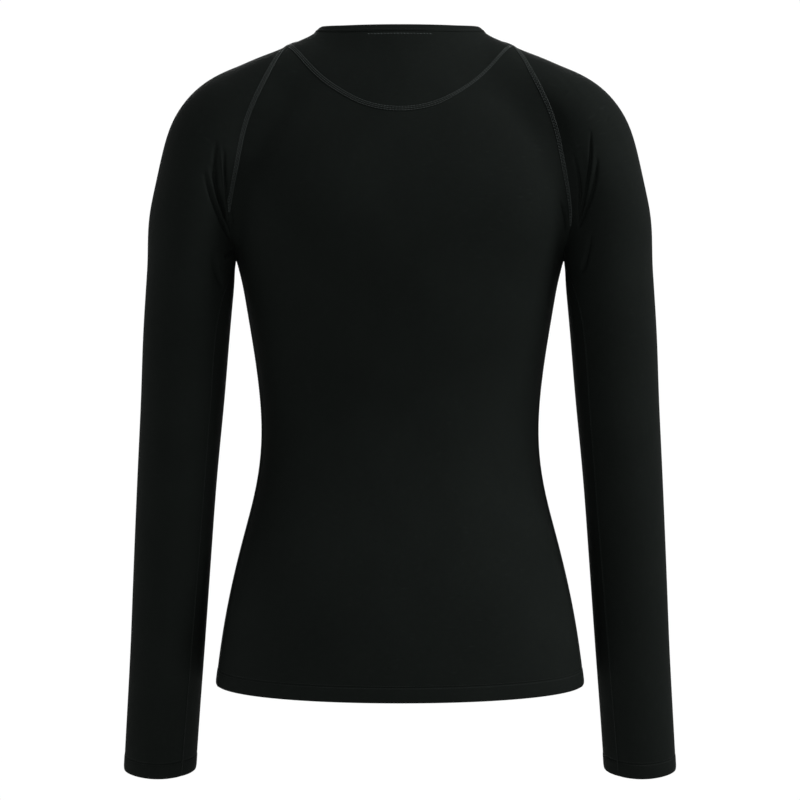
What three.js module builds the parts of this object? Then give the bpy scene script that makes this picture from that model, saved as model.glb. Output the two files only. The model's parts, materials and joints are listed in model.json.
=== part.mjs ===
// Long-sleeved raglan base layer top in fine black knit, filled out as when it is worn.
// Millimetres, +Z up. The wearer faces -Y and the garment's left side is at +X.
// The origin lies in the middle of the neck, at the height of the shoulder ends of the neckline.
import * as THREE from "three";

// Cloth, seams and trim
const WALL = 1.5;
const SEAM_GAP = 0.3;
const CORNER_GAP = 0.6;
// Round the underarm, where four seams meet, the pieces part sideways and stay a little further apart
const UNDERARM_GAP = { x: 0.7, y: 0.4 };
const UNDERARM_EASE = { extra: 0.7, reach: 22 };
const BINDING_GAP = 0.45;
const BINDING_HEIGHT = 6;
const BINDING_THICKNESS = 2.4;
const BINDING_PROUD = 0.5;
// The binding's section: height as a share of its whole height, and place between its outer and inner face
const BINDING_SECTION = [
  { rise: 0, across: 0.08 },
  { rise: 0.45, across: 0 },
  { rise: 0.85, across: 0.06 },
  { rise: 1, across: 0.5 },
  { rise: 0.85, across: 0.88 },
  { rise: 0, across: 1 },
];
const CLOTH_COLOUR = 0x15181a;
const BINDING_COLOUR = 0x191c1e;

// Lengths down the body and the arm
const HEM_Z = -564.5;
const HEM_DROP_BACK = 10;
const HEM_DROP_FRONT = 3;
// The hem's drop grows from the underarm down with this power of the way
const HEM_DROP_POWER = 3;
const CUFF_Z = -643;
const CUFF_DROP = 8;
const CUFF_DROP_REACH = 40;
const UNDERARM_X = 144.5;
const UNDERARM_Y = 4;
const UNDERARM_SEARCH = { top: -150, bottom: -235 };

// Mesh steps: across a body panel, along the body below and above the underarm, and the same on a sleeve
const BODY_COLUMNS = 22;
const BODY_ROWS = 12;
const RAGLAN_ROWS = 11;
const YOKE_ROWS = 4;
const SLEEVE_ROWS = 13;
const BINDING_STEPS = 72;

// Level sections of the body. half: half the width, back and front: depth from the middle line.
const TORSO_SECTIONS = [
  { z: -580, half: 162, back: 110, front: 100, middle: -6, power: 2.3 },
  { z: -566, half: 163.4, back: 111, front: 101, middle: -6, power: 2.3 },
  { z: -552, half: 163.6, back: 112, front: 102, middle: -6, power: 2.3 },
  { z: -527, half: 159, back: 111, front: 102, middle: -6, power: 2.3 },
  { z: -492, half: 152.5, back: 108, front: 102, middle: -6, power: 2.3 },
  { z: -457, half: 145, back: 101, front: 101, middle: -6, power: 2.3 },
  { z: -421, half: 135, back: 91, front: 99, middle: -6, power: 2.25 },
  { z: -386, half: 126, back: 83, front: 96, middle: -6, power: 2.2 },
  { z: -350, half: 122.5, back: 78, front: 94, middle: -6, power: 2.2 },
  { z: -315, half: 124, back: 77, front: 95, middle: -6, power: 2.2 },
  { z: -280, half: 128, back: 82, front: 99, middle: -6, power: 2.25 },
  { z: -244, half: 133.6, back: 89, front: 105, middle: -6, power: 2.3 },
  { z: -209, half: 139.4, back: 95, front: 110, middle: -6, power: 2.35 },
  { z: -190, half: 142.6, back: 97, front: 111, middle: -6, power: 2.5 },
  { z: -160, half: 148, back: 99, front: 109, middle: -6, power: 2.8 },
  { z: -130, half: 147, back: 97, front: 103, middle: -6, power: 3 },
  { z: -100, half: 139, back: 91, front: 94, middle: -6, power: 3 },
  { z: -70, half: 122, back: 83, front: 83, middle: -6, power: 2.8 },
  { z: -45, half: 102, back: 75, front: 74, middle: -6, power: 2.5 },
  { z: -25, half: 86, back: 67, front: 68, middle: -6, power: 2.3 },
  { z: -8, half: 75, back: 59, front: 63, middle: -7, power: 2.1 },
  { z: 6, half: 70, back: 54, front: 59, middle: -8, power: 2.1 },
  { z: 20, half: 67.5, back: 51, front: 56, middle: -9, power: 2.1 },
  { z: 45, half: 66, back: 49, front: 54, middle: -11, power: 2.1 },
];

// Upright sections of the shoulder, from the neck outward. top: its ridge, rise and depth: half its size.
const SHOULDER_SECTIONS = [
  { x: 40, top: 2, rise: 34, middle: 3, depth: 34 },
  { x: 72, top: 2.5, rise: 34, middle: 3, depth: 36 },
  { x: 89, top: 1.5, rise: 35, middle: 4, depth: 39 },
  { x: 108, top: -5.5, rise: 37, middle: 4, depth: 42 },
  { x: 129, top: -14, rise: 39, middle: 4, depth: 46 },
  { x: 146, top: -22.5, rise: 40, middle: 4, depth: 48 },
  { x: 165, top: -40, rise: 38, middle: 4, depth: 47 },
];
const SHOULDER_END = { at: 148, cap: 30 };

// Level sections of the arm, from the cuff up. x and y: its axis, half and depth: half its size across
// and front to back.
const ARM_SECTIONS = [
  { z: -660, x: 215, y: -29, half: 32.6, depth: 28 },
  { z: -634, x: 213.8, y: -26, half: 32.7, depth: 28.5 },
  { z: -598, x: 211.2, y: -22, half: 32.8, depth: 29.5 },
  { z: -563, x: 208.6, y: -18, half: 33.2, depth: 31 },
  { z: -527, x: 206, y: -14, half: 33.4, depth: 32.5 },
  { z: -492, x: 204, y: -10, half: 34, depth: 34 },
  { z: -457, x: 201.8, y: -6, half: 34.5, depth: 36 },
  { z: -421, x: 199.6, y: -3, half: 35, depth: 38 },
  { z: -386, x: 197.4, y: 0, half: 35.4, depth: 39.5 },
  { z: -350, x: 194.7, y: 2, half: 36.3, depth: 41 },
  { z: -315, x: 192, y: 3, half: 37.2, depth: 42 },
  { z: -262, x: 189, y: 4, half: 38.5, depth: 44 },
  { z: -209, x: 185, y: 5, half: 39.2, depth: 47 },
  { z: -190, x: 183.8, y: 5, half: 39.2, depth: 48 },
  { z: -173, x: 183, y: 5, half: 40.2, depth: 49 },
  { z: -138, x: 179.6, y: 5, half: 40.3, depth: 53 },
  { z: -110, x: 170.8, y: 5, half: 40, depth: 54 },
];
const ARM_POWER = 2.1;
const ARM_END = { at: -110, cap: 61 };

// How softly the pieces of the form run together: shoulder into body, and arm into both, by height.
const SHOULDER_BLEND = 30;
const ARM_BLEND = [
  { z: -195, blend: 4 },
  { z: -178, blend: 8 },
  { z: -150, blend: 20 },
  { z: -110, blend: 34 },
];

// Neckline on the left half, from centre back over the shoulder to centre front
const NECKLINE = [
  { x: 0, y: 46, z: 5 },
  { x: 28, y: 43, z: 6 },
  { x: 52, y: 31, z: 7.5 },
  { x: 68.5, y: 10, z: 8.5 },
  { x: 73, y: -12, z: 5 },
  { x: 67, y: -40, z: -11 },
  { x: 49, y: -63, z: -31 },
  { x: 25, y: -77, z: -46 },
  { x: 0, y: -82, z: -52 },
];
// Shares of the half neckline at which the sleeve's back and front seams meet it
const NECK_SHARE_BACK = 0.5;
const NECK_SHARE_FRONT = 0.66;

// Back raglan seam on the left, from the underarm to the end of the yoke seam
const RAGLAN_BACK = [
  { x: 150, y: 30, z: -172 },
  { x: 150.5, y: 41, z: -159 },
  { x: 147, y: 48, z: -136 },
  { x: 142, y: 54, z: -110 },
  { x: 134, y: 51, z: -71 },
  { x: 123, y: 49, z: -45 },
  { x: 112, y: 39, z: -23 },
  { x: 104.5, y: 23.5, z: -8 },
  { x: 99, y: 11, z: -3.6 },
];
// Front raglan seam on the left, from the underarm towards the neckline
const RAGLAN_FRONT = [
  { x: 150, y: -27, z: -172 },
  { x: 148, y: -42, z: -150 },
  { x: 141, y: -56, z: -124 },
  { x: 129, y: -60, z: -98 },
  { x: 114, y: -56, z: -74 },
  { x: 97, y: -51, z: -51 },
  { x: 82, y: -49, z: -33 },
];
// Yoke seam on the left half, from its end at the raglan seam to centre back
const YOKE_SEAM = [
  { x: 86, y: 37, z: -16 },
  { x: 68, y: 52, z: -35 },
  { x: 52, y: 64, z: -47 },
  { x: 34.5, y: 72, z: -57 },
  { x: 17, y: 75, z: -62 },
  { x: 0, y: 75.5, z: -63.5 },
];

// Turn of the body's side seam and of the sleeve's seam towards the back, in degrees, by height
const SIDE_SEAM = [
  { z: -570, turn: 15 },
  { z: -400, turn: 13 },
  { z: -260, turn: 8 },
  { z: -190, turn: 4 },
];
const SLEEVE_SEAM = [
  { z: -640, turn: 47 },
  { z: -400, turn: 47 },
  { z: -260, turn: 50 },
  { z: -225, turn: 44 },
  { z: -205, turn: 28 },
  { z: -190, turn: 0 },
];

// Core line inside the raglan part of the sleeve and the crown line on it, halfway between its seams,
// at even steps from the underarm to just below the neckline
const SLEEVE_CORE = [
  { x: 183, y: 4, z: -192 },
  { x: 181, y: 4, z: -165 },
  { x: 173, y: 4, z: -128 },
  { x: 156, y: 2, z: -95 },
  { x: 133, y: -3, z: -72 },
  { x: 110, y: -8, z: -52 },
  { x: 84, y: -22, z: -38 },
  { x: 68, y: -22, z: -26 },
];
const SLEEVE_CROWN = [
  { x: 223, y: 4, z: -192 },
  { x: 220, y: 4, z: -150 },
  { x: 211, y: 4, z: -95 },
  { x: 189, y: 2, z: -50 },
  { x: 155, y: -4, z: -28 },
  { x: 125, y: -14, z: -16 },
  { x: 101, y: -34, z: -22 },
  { x: 80, y: -36, z: -10 },
];

// Shares of the way round a sleeve, from its back seam to its front seam, closer together at the folds
const SLEEVE_COLUMNS = [
  0, 0.018, 0.036, 0.054, 0.072, 0.09, 0.11, 0.135, 0.165, 0.2, 0.24, 0.28, 0.325, 0.37, 0.415, 0.46, 0.51,
  0.56, 0.61, 0.66, 0.71, 0.76, 0.81, 0.85, 0.885, 0.915, 0.94, 0.96, 0.98, 1,
];

// Soft creases that rise from the underarms. side: +1 left, -1 right, face: +1 back, -1 front.
// Each runs from its foot to its head in X and Z, bowed to one side, and sinks by its depth.
const CREASES = [
  { side: 1, face: 1, footX: 145, footZ: -170, headX: 154, headZ: -98, bow: 2, width: 4, depth: 1.6 },
  { side: 1, face: 1, footX: 148, footZ: -166, headX: 162, headZ: -92, bow: 4, width: 4.5, depth: 2 },
  { side: 1, face: 1, footX: 153, footZ: -160, headX: 171, headZ: -115, bow: 1, width: 4.5, depth: 1.4 },
  { side: -1, face: 1, footX: 155, footZ: -163, headX: 165, headZ: -88, bow: 2, width: 4.5, depth: 2 },
  { side: -1, face: 1, footX: 159, footZ: -152, headX: 171, headZ: -108, bow: 1, width: 4.5, depth: 1.5 },
  { side: -1, face: 1, footX: 150, footZ: -156, headX: 142, headZ: -128, bow: 1, width: 4, depth: 1.2 },
  { side: 1, face: -1, footX: 154, footZ: -164, headX: 166, headZ: -96, bow: 3, width: 4.5, depth: 1.8 },
  { side: 1, face: -1, footX: 150, footZ: -158, headX: 139, headZ: -118, bow: 2, width: 4.5, depth: 1.4 },
  { side: -1, face: -1, footX: 152, footZ: -168, headX: 161, headZ: -104, bow: 3, width: 4.5, depth: 1.9 },
  { side: -1, face: -1, footX: 157, footZ: -157, headX: 172, headZ: -118, bow: 1, width: 4.5, depth: 1.3 },
];

// A crease is deepest nearer its foot than its head
const CREASE_FADE_POWER = 0.7;

// How much closer together the rows get towards the underarm
const BODY_CROWDING = 0.13;
const SLEEVE_CROWDING = 0.17;

// The middle of the chest, and how far from the body's middle the cloth may lie
const CHEST_MIDDLE = new THREE.Vector3(0, -6, -140);
const CHEST_REACH = 320;

// How far from its core line the cloth of a sleeve may lie
const SLEEVE_REACH = 120;

// Steps of the searches for the form's surface, in millimetres where they are lengths
const SLOPE_STEP = 0.05;
const FLATTEST_SLOPE = 0.2;
const LANDING_STEPS = 14;
const CAST_STRIDE = 3;
const CAST_HALVINGS = 24;
const SEAM_DIVISIONS = 400;
const NECK_RUN_STEPS = 12;
const SAME_PLACE = 1e-6;

const RIGHT_ANGLE = Math.PI / 2;
const FULL_TURN = Math.PI * 2;

const point = (row) => new THREE.Vector3(row.x, row.y, row.z);
const mix = (a, b, share) => a + (b - a) * share;
const radians = (degrees) => (degrees * Math.PI) / 180;
const crowded = (share, crowding) => share + crowding * Math.sin(Math.PI * share);

// The row of a table at any value of its key column, along smooth curves through the table's rows
function rowAt(rows, key, at) {
  const last = rows.length - 1;
  if (at <= rows[0][key]) return rows[0];
  if (at >= rows[last][key]) return rows[last];
  let low = 0;
  while (rows[low + 1][key] < at) low += 1;
  const span = rows[low + 1][key] - rows[low][key];
  const share = (at - rows[low][key]) / span;
  const square = share * share;
  const cube = square * share;
  const between = {};
  for (const name of Object.keys(rows[low])) {
    const leaving = columnSlope(rows, key, name, low) * span;
    const arriving = columnSlope(rows, key, name, low + 1) * span;
    between[name] = (2 * cube - 3 * square + 1) * rows[low][name] + (cube - 2 * square + share) * leaving
      + (3 * square - 2 * cube) * rows[low + 1][name] + (cube - square) * arriving;
  }
  return between;
}

function columnSlope(rows, key, name, index) {
  const before = rows[Math.max(index - 1, 0)];
  const after = rows[Math.min(index + 1, rows.length - 1)];
  return (after[name] - before[name]) / (after[key] - before[key]);
}

// How far a place lies outside an oval section, measured along the line from the section's middle.
// past is how far it lies beyond a rounded end of the length cap.
function beyondOval(across, along, halfAcross, halfAlong, power, past = 0, cap = 1) {
  const sum = Math.pow(Math.abs(across) / halfAcross, power) + Math.pow(Math.abs(along) / halfAlong, power)
    + Math.pow(past / cap, power);
  const reach = Math.hypot(across, along, past);
  if (reach < SAME_PLACE) return -Math.min(halfAcross, halfAlong);
  return reach * (1 - Math.pow(sum, -1 / power));
}

function beyondTorso(place) {
  const row = rowAt(TORSO_SECTIONS, "z", place.z);
  const along = place.y - row.middle;
  return beyondOval(place.x, along, row.half, along > 0 ? row.back : row.front, row.power);
}

function beyondShoulder(place) {
  const out = Math.abs(place.x);
  const row = rowAt(SHOULDER_SECTIONS, "x", Math.min(out, SHOULDER_END.at));
  const past = Math.max(out - SHOULDER_END.at, 0);
  const up = place.z - (row.top - row.rise);
  return beyondOval(place.y - row.middle, up, row.depth, row.rise, 2, past, SHOULDER_END.cap);
}

function beyondArm(place) {
  const row = rowAt(ARM_SECTIONS, "z", Math.min(place.z, ARM_END.at));
  const past = Math.max(place.z - ARM_END.at, 0);
  const across = Math.abs(place.x) - row.x;
  return beyondOval(across, place.y - row.y, row.half, row.depth, ARM_POWER, past, ARM_END.cap);
}

function blended(a, b, blend) {
  const overlap = Math.max(blend - Math.abs(a - b), 0) / blend;
  return Math.min(a, b) - (overlap * overlap * blend) / 4;
}

// The filled-out form that the cloth lies on: below zero inside it, above zero outside
function form(place) {
  const body = blended(beyondTorso(place), beyondShoulder(place), SHOULDER_BLEND);
  return blended(body, beyondArm(place), rowAt(ARM_BLEND, "z", place.z).blend);
}

function slopeAt(place) {
  const slope = new THREE.Vector3();
  for (const axis of ["x", "y", "z"]) {
    const ahead = place.clone();
    const behind = place.clone();
    ahead[axis] += SLOPE_STEP;
    behind[axis] -= SLOPE_STEP;
    slope[axis] = (form(ahead) - form(behind)) / (2 * SLOPE_STEP);
  }
  return slope;
}

const normalAt = (place) => slopeAt(place).normalize();

// Moves a place down the slope onto the form
function ontoForm(guess) {
  const place = guess.clone();
  for (let step = 0; step < LANDING_STEPS; step += 1) {
    const slope = slopeAt(place);
    place.addScaledVector(slope, -form(place) / Math.max(slope.lengthSq(), FLATTEST_SLOPE));
  }
  return place;
}

// The first place where a straight line from inside the form leaves it
function castFrom(inside, direction, farthest) {
  const at = (distance) => inside.clone().addScaledVector(direction, distance);
  let low = 0;
  while (low < farthest && form(at(low + CAST_STRIDE)) < 0) low += CAST_STRIDE;
  let high = low + CAST_STRIDE;
  for (let step = 0; step < CAST_HALVINGS; step += 1) {
    const middle = (low + high) / 2;
    if (form(at(middle)) < 0) low = middle;
    else high = middle;
  }
  return at(low);
}

// Points at even shares of the length of a smooth curve through the given places, landed on the form
function seamPoints(places, count) {
  const curve = new THREE.CatmullRomCurve3(places, false, "centripetal");
  curve.arcLengthDivisions = SEAM_DIVISIONS;
  return Array.from({ length: count + 1 }, (_, index) => ontoForm(curve.getPointAt(index / count)));
}

// The lowest place of the form between the body and the arm, where the four seams meet
function underarmPoint() {
  const start = new THREE.Vector3(UNDERARM_X, UNDERARM_Y, UNDERARM_SEARCH.top);
  return castFrom(start, new THREE.Vector3(0, 0, -1), UNDERARM_SEARCH.top - UNDERARM_SEARCH.bottom);
}

const mirrored = (place) => new THREE.Vector3(-place.x, place.y, place.z);

const underarm = underarmPoint();
const rightUnderarm = mirrored(underarm);
const leftNeckline = NECKLINE.map(point);
const rightNeckline = leftNeckline.slice(1, -1).reverse().map(mirrored);
const neckline = new THREE.CatmullRomCurve3([...leftNeckline, ...rightNeckline], true, "centripetal");
// A place on the left half of the neckline, from 0 at centre back to 1 at centre front
const neckAt = (share) => ontoForm(neckline.getPointAt(share / 2));
const yokeEnd = ontoForm(point(RAGLAN_BACK[RAGLAN_BACK.length - 1]));
const neckBack = neckAt(NECK_SHARE_BACK);
const neckFront = neckAt(NECK_SHARE_FRONT);
const raglanBack = seamPoints([underarm, ...RAGLAN_BACK.map(point)], RAGLAN_ROWS);
const yokeSide = seamPoints([yokeEnd, neckBack], YOKE_ROWS);
const raglanFront = seamPoints([underarm, ...RAGLAN_FRONT.map(point), neckFront], RAGLAN_ROWS + YOKE_ROWS);

// The whole curve across the wearer, from the left half of a seam that starts at its left end
function acrossFromLeft(leftHalf, count) {
  const rightHalf = leftHalf.slice(0, -1).reverse().map(mirrored);
  return seamPoints([...leftHalf, ...rightHalf], count);
}

function neckRun(fromShare, toShare) {
  return Array.from({ length: NECK_RUN_STEPS + 1 }, (_, index) => (
    neckAt(mix(fromShare, toShare, index / NECK_RUN_STEPS))
  ));
}

const yokeSeam = acrossFromLeft([yokeEnd, ...YOKE_SEAM.map(point)], BODY_COLUMNS);
const neckEdgeBack = acrossFromLeft(neckRun(NECK_SHARE_BACK, 0), BODY_COLUMNS);
const neckEdgeFront = acrossFromLeft(neckRun(NECK_SHARE_FRONT, 1), BODY_COLUMNS);

// One level row of a body panel between its side seams. face is +1 for the back and -1 for the front.
function bodyRow(height, face) {
  const row = rowAt(TORSO_SECTIONS, "z", height);
  const seam = radians(rowAt(SIDE_SEAM, "z", height).turn);
  const first = face * seam;
  const down = THREE.MathUtils.clamp((underarm.z - height) / (underarm.z - HEM_Z), 0, 1);
  const sunk = Math.pow(down, HEM_DROP_POWER);
  return Array.from({ length: BODY_COLUMNS + 1 }, (_, index) => {
    const share = index / BODY_COLUMNS;
    const turn = mix(first, Math.PI - first, share);
    const backward = face * Math.sin(turn);
    const depth = backward > 0 ? row.back : row.front;
    const drop = backward > 0 ? HEM_DROP_BACK : HEM_DROP_FRONT;
    const out = new THREE.Vector3(row.half * Math.cos(turn), depth * backward, 0).normalize();
    const level = height - drop * sunk * Math.abs(backward);
    return castFrom(new THREE.Vector3(0, row.middle, level), out, CHEST_REACH);
  });
}

// Rows of a body panel from hem to underarm, then blended between its raglan seams and its top edge
function bodyGrid(face, leftEdge, topEdge) {
  const rows = [];
  for (let index = 0; index < BODY_ROWS; index += 1) {
    rows.push(bodyRow(mix(HEM_Z, underarm.z, crowded(index / BODY_ROWS, BODY_CROWDING)), face));
  }
  const base = bodyRow(underarm.z, face);
  base[0] = underarm.clone();
  base[BODY_COLUMNS] = mirrored(underarm);
  rows.push(base);
  for (let index = 1; index < leftEdge.length; index += 1) {
    rows.push(blendedRow(base, topEdge, leftEdge, index, face));
  }
  return rows;
}

// The turn round the body and the rise at which a place is seen from the middle of the chest
function bearingOf(place, face) {
  const out = place.clone().sub(CHEST_MIDDLE);
  const turn = Math.atan2(face * out.y, out.x);
  return {
    turn: turn < -RIGHT_ANGLE ? turn + FULL_TURN : turn,
    rise: Math.atan2(out.z, Math.hypot(out.x, out.y)),
  };
}

function placeAt(bearing, face) {
  const level = Math.cos(bearing.rise);
  const direction = new THREE.Vector3(
    Math.cos(bearing.turn) * level,
    face * Math.sin(bearing.turn) * level,
    Math.sin(bearing.rise),
  );
  return castFrom(CHEST_MIDDLE, direction, CHEST_REACH);
}

// A row between the left seam and its mirror image, blended between the rows below and above it
function blendedRow(base, top, left, index, face) {
  const up = index / (left.length - 1);
  const columns = base.length - 1;
  if (index === left.length - 1) return top.map((place) => place.clone());
  const ends = [bearingOf(left[index], face), bearingOf(mirrored(left[index]), face)];
  const bottom = base.map((place) => bearingOf(place, face));
  const above = top.map((place) => bearingOf(place, face));
  return base.map((_, column) => {
    const share = column / columns;
    if (column === 0) return left[index].clone();
    if (column === columns) return mirrored(left[index]);
    const bearing = {};
    for (const part of ["turn", "rise"]) {
      const corners = mix(mix(bottom[0][part], bottom[columns][part], share),
        mix(above[0][part], above[columns][part], share), up);
      bearing[part] = mix(bottom[column][part], above[column][part], up)
        + mix(ends[0][part], ends[1][part], share) - corners;
    }
    return placeAt(bearing, face);
  });
}

// The yoke: rows from the yoke seam up to the back neckline
function yokeGrid() {
  const rows = [yokeSeam.map((place) => place.clone())];
  for (let index = 1; index <= YOKE_ROWS; index += 1) {
    rows.push(blendedRow(yokeSeam, neckEdgeBack, yokeSide, index, 1));
  }
  return rows;
}

// One row of the left sleeve round its core, from the back edge over the crown to the front edge
function sleeveRow(core, crown, backEdge, frontEdge) {
  const outward = crown.clone().sub(core).normalize();
  const backward = new THREE.Vector3(0, 1, 0).addScaledVector(outward, -outward.y).normalize();
  const aside = outward.clone().cross(backward);
  const place = (edge) => {
    const arm = edge.clone().sub(core);
    return { turn: Math.atan2(arm.dot(backward), arm.dot(outward)), skew: arm.dot(aside) };
  };
  const back = place(backEdge);
  const front = place(frontEdge);
  if (back.turn < -RIGHT_ANGLE) back.turn += FULL_TURN;
  if (front.turn > RIGHT_ANGLE) front.turn -= FULL_TURN;
  const last = SLEEVE_COLUMNS.length - 1;
  return SLEEVE_COLUMNS.map((share, column) => {
    if (column === 0) return backEdge.clone();
    if (column === last) return frontEdge.clone();
    const turn = mix(back.turn, front.turn, share);
    const end = turn > 0 ? back : front;
    const skew = end.skew * Math.pow(turn / end.turn, 2);
    const direction = outward.clone().multiplyScalar(Math.cos(turn));
    direction.addScaledVector(backward, Math.sin(turn));
    return castFrom(core.clone().addScaledVector(aside, skew), direction, SLEEVE_REACH);
  });
}

// The straight part of the sleeve: a ring round the arm's axis, cut open along the sleeve seam
function sleeveRing(height) {
  const row = rowAt(ARM_SECTIONS, "z", height);
  const seam = radians(rowAt(SLEEVE_SEAM, "z", height).turn);
  const low = THREE.MathUtils.clamp(1 - (height - CUFF_Z) / CUFF_DROP_REACH, 0, 1);
  return SLEEVE_COLUMNS.map((share) => {
    const turn = mix(Math.PI, -Math.PI, share) - seam * Math.pow(Math.cos(Math.PI * share), 2);
    const level = height - CUFF_DROP * low * Math.sin(turn);
    const direction = new THREE.Vector3(Math.cos(turn), Math.sin(turn), 0);
    return castFrom(new THREE.Vector3(row.x, row.y, level), direction, SLEEVE_REACH);
  });
}

function sleeveGrid() {
  const rows = [];
  for (let index = 0; index < SLEEVE_ROWS; index += 1) {
    rows.push(sleeveRing(mix(CUFF_Z, underarm.z, crowded(index / SLEEVE_ROWS, SLEEVE_CROWDING))));
  }
  const core = new THREE.CatmullRomCurve3(SLEEVE_CORE.map(point), false, "centripetal");
  const crown = new THREE.CatmullRomCurve3(SLEEVE_CROWN.map(point), false, "centripetal");
  const backEdge = [...raglanBack, ...yokeSide.slice(1, -1)];
  backEdge.forEach((edge, index) => {
    const share = index / (backEdge.length - 1);
    rows.push(sleeveRow(core.getPoint(share), crown.getPoint(share), edge, raglanFront[index]));
  });
  rows.push(SLEEVE_COLUMNS.map((share) => neckAt(mix(NECK_SHARE_BACK, NECK_SHARE_FRONT, share))));
  return rows;
}

// How deep a crease presses the cloth in at a place, zero away from the creases
function creaseDepth(place) {
  let sink = 0;
  for (const crease of CREASES) {
    const out = place.x * crease.side;
    if (out < 0 || place.y * crease.face < 0) continue;
    const runX = crease.headX - crease.footX;
    const runZ = crease.headZ - crease.footZ;
    const length = Math.hypot(runX, runZ);
    const along = ((out - crease.footX) * runX + (place.z - crease.footZ) * runZ) / (length * length);
    if (along < 0 || along > 1) continue;
    const offset = ((out - crease.footX) * runZ - (place.z - crease.footZ) * runX) / length;
    const aside = offset - crease.bow * Math.sin(Math.PI * along);
    const fade = Math.sin(Math.PI * Math.pow(along, CREASE_FADE_POWER));
    sink += crease.depth * fade * Math.exp(-Math.pow(aside / crease.width, 2) * 2);
  }
  return sink;
}

// Draws the edge of a grid in by half a seam gap, so that neighbouring pieces keep the whole gap.
// side is +1 on a sleeve and -1 on the body: at the underarm, where four seams meet, they part sideways.
// hand is +1 where the columns run anticlockwise round the piece as it is seen from outside, or else -1.
function drawnIn(grid, side, hand) {
  const lastRow = grid.length - 1;
  const lastColumn = grid[0].length - 1;
  return grid.map((row, rowIndex) => row.map((place, column) => {
    const moved = place.clone();
    const rowEdge = rowIndex === 0 || rowIndex === lastRow;
    const columnEdge = column === 0 || column === lastColumn;
    if (columnEdge && Math.abs(place.z - underarm.z) < SAME_PLACE) {
      const beside = row[column === 0 ? 1 : lastColumn - 1];
      moved.x += Math.sign(place.x) * side * UNDERARM_GAP.x;
      moved.y += Math.sign(beside.y - place.y) * UNDERARM_GAP.y;
      return moved;
    }
    const away = place.distanceTo(place.x > 0 ? underarm : rightUnderarm) / UNDERARM_EASE.reach;
    const ease = UNDERARM_EASE.extra * Math.exp(-away * away);
    const gap = (rowEdge && columnEdge ? CORNER_GAP : SEAM_GAP + ease) / 2;
    const normal = normalAt(place);
    if (columnEdge) {
      const above = grid[Math.min(rowIndex + 1, lastRow)][column];
      const below = grid[Math.max(rowIndex - 1, 0)][column];
      const inward = above.clone().sub(below).cross(normal).normalize();
      moved.addScaledVector(inward, column === 0 ? hand * gap : -hand * gap);
    }
    if (rowEdge) {
      const after = row[Math.min(column + 1, lastColumn)];
      const before = row[Math.max(column - 1, 0)];
      const inward = normal.clone().cross(after.clone().sub(before)).normalize();
      moved.addScaledVector(inward, rowIndex === 0 ? hand * gap : -hand * gap);
    }
    return moved;
  }));
}

// A closed wall of the cloth's thickness on a grid of places on the form. flip turns its faces over.
function wallOn(grid, side, flip) {
  const columns = grid[0].length;
  const rows = grid.length;
  const outer = [];
  const inner = [];
  drawnIn(grid, side, flip ? -1 : 1).flat().forEach((place) => {
    const normal = normalAt(place);
    const outside = place.clone().addScaledVector(normal, -creaseDepth(place));
    outer.push(outside);
    inner.push(outside.clone().addScaledVector(normal, -WALL));
  });
  const faces = [];
  const quad = (a, b, c, d) => faces.push(a, b, c, a, c, d);
  const under = outer.length;
  const offForm = (from, to) => Math.abs(form(outer[from].clone().lerp(outer[to], 0.5)));
  for (let row = 0; row < rows - 1; row += 1) {
    for (let column = 0; column < columns - 1; column += 1) {
      const near = row * columns + column;
      const corners = [near, near + 1, near + 1 + columns, near + columns];
      // A four-sided patch is split along the diagonal that lies nearer to the form
      if (offForm(corners[1], corners[3]) < offForm(corners[0], corners[2])) corners.push(corners.shift());
      const [a, b, c, d] = corners;
      quad(a, b, c, d);
      quad(under + c, under + b, under + a, under + d);
    }
  }
  for (let column = 0; column < columns - 1; column += 1) {
    const top = (rows - 1) * columns + column;
    quad(column, under + column, under + column + 1, column + 1);
    quad(top, top + 1, under + top + 1, under + top);
  }
  for (let row = 0; row < rows - 1; row += 1) {
    const left = row * columns;
    const right = left + columns - 1;
    quad(left, left + columns, under + left + columns, under + left);
    quad(right, under + right, under + right + columns, right + columns);
  }
  return solidFrom([...outer, ...inner], faces, flip);
}

function solidFrom(places, faces, flip) {
  const order = flip ? faces.slice().reverse() : faces;
  const geometry = new THREE.BufferGeometry();
  const numbers = places.flatMap((place) => place.toArray());
  geometry.setAttribute("position", new THREE.Float32BufferAttribute(numbers, 3));
  geometry.setIndex(order);
  geometry.computeVertexNormals();
  return geometry;
}

// The binding: a band with a rounded top that stands on the neckline all the way round
function bindingSolid() {
  const halfSteps = BINDING_STEPS / 2;
  const half = Array.from({ length: halfSteps + 1 }, (_, index) => neckAt(index / halfSteps));
  const ring = [...half, ...half.slice(1, -1).reverse().map(mirrored)];
  const places = [];
  ring.forEach((place, index) => {
    const next = ring[(index + 1) % ring.length];
    const before = ring[(index + ring.length - 1) % ring.length];
    const along = next.clone().sub(before).normalize();
    const normal = normalAt(place);
    const up = normal.clone().cross(along).normalize();
    if (up.z < 0) up.negate();
    for (const corner of BINDING_SECTION) {
      const rise = mix(BINDING_GAP, BINDING_HEIGHT, corner.rise);
      const out = BINDING_PROUD - BINDING_THICKNESS * corner.across;
      places.push(place.clone().addScaledVector(up, rise).addScaledVector(normal, out));
    }
  });
  const faces = [];
  ring.forEach((_, index) => {
    const here = index * BINDING_SECTION.length;
    const there = ((index + 1) % ring.length) * BINDING_SECTION.length;
    BINDING_SECTION.forEach((_corner, corner) => {
      const beside = (corner + 1) % BINDING_SECTION.length;
      faces.push(here + corner, there + corner, there + beside);
      faces.push(here + corner, there + beside, here + beside);
    });
  });
  return solidFrom(places, faces, true);
}

function clothPiece(name, geometry, colour) {
  const material = new THREE.MeshStandardMaterial({ color: colour, roughness: 0.9, metalness: 0 });
  const piece = new THREE.Mesh(geometry, material);
  piece.name = name;
  return piece;
}

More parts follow.
